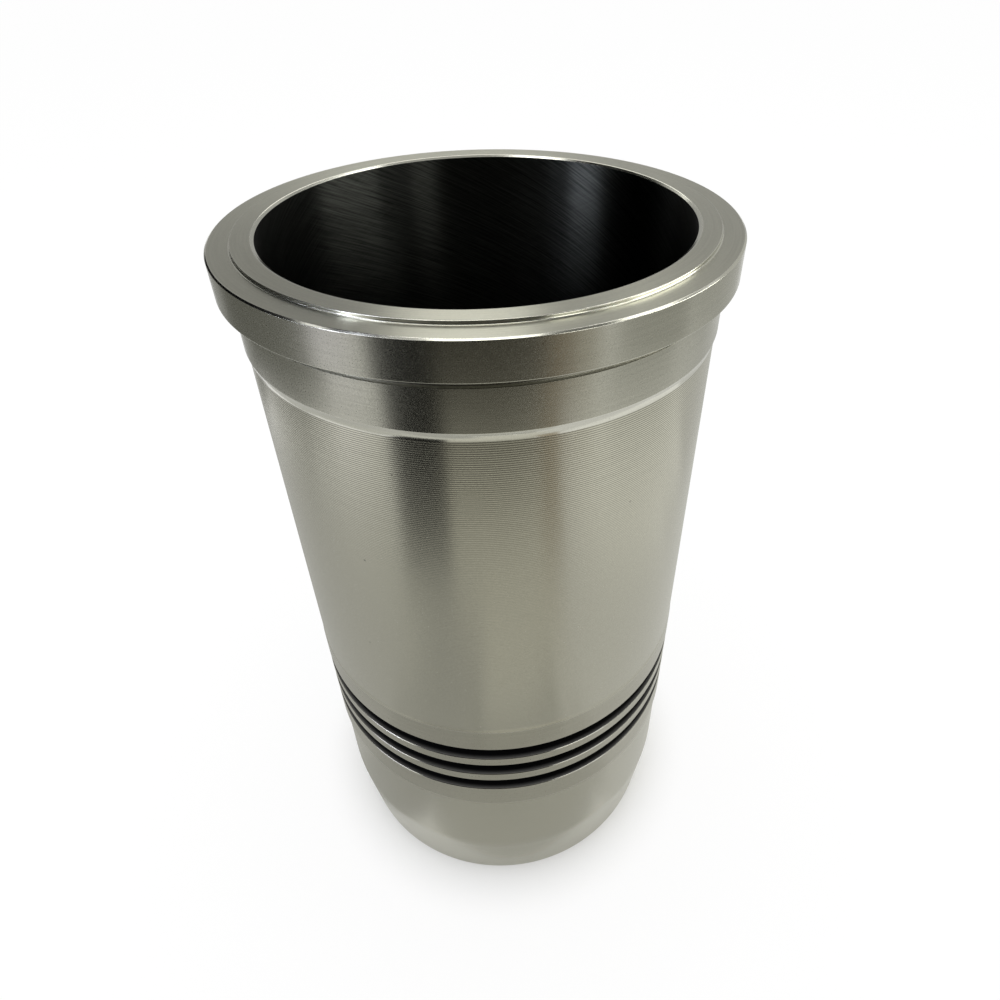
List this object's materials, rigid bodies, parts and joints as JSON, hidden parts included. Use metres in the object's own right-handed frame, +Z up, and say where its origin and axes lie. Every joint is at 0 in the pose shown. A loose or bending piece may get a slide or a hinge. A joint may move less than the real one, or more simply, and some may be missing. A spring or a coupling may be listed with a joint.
{
  "type": "cylinder liner",
  "caption": "One-piece turned cylinder liner: top flange with raised spigot, pilot, plain body, grooved lower land and tapered skirt round a honed bore.",
  "frame": {"origin": "centre of the liner's lower end, on the plane it stands on", "axes": "+Z up the bore axis, from the skirt towards the flange; X and Y are free, because the part is turned"},
  "size_m": [0.1456, 0.1456, 0.25],
  "materials": {
    "machined_iron": "fine-turned outside, ground flange and pilot, plateau-honed bore"
  },
  "bodies": {
    "root": {"liner": "machined_iron"}
  },
  "joints": []
}
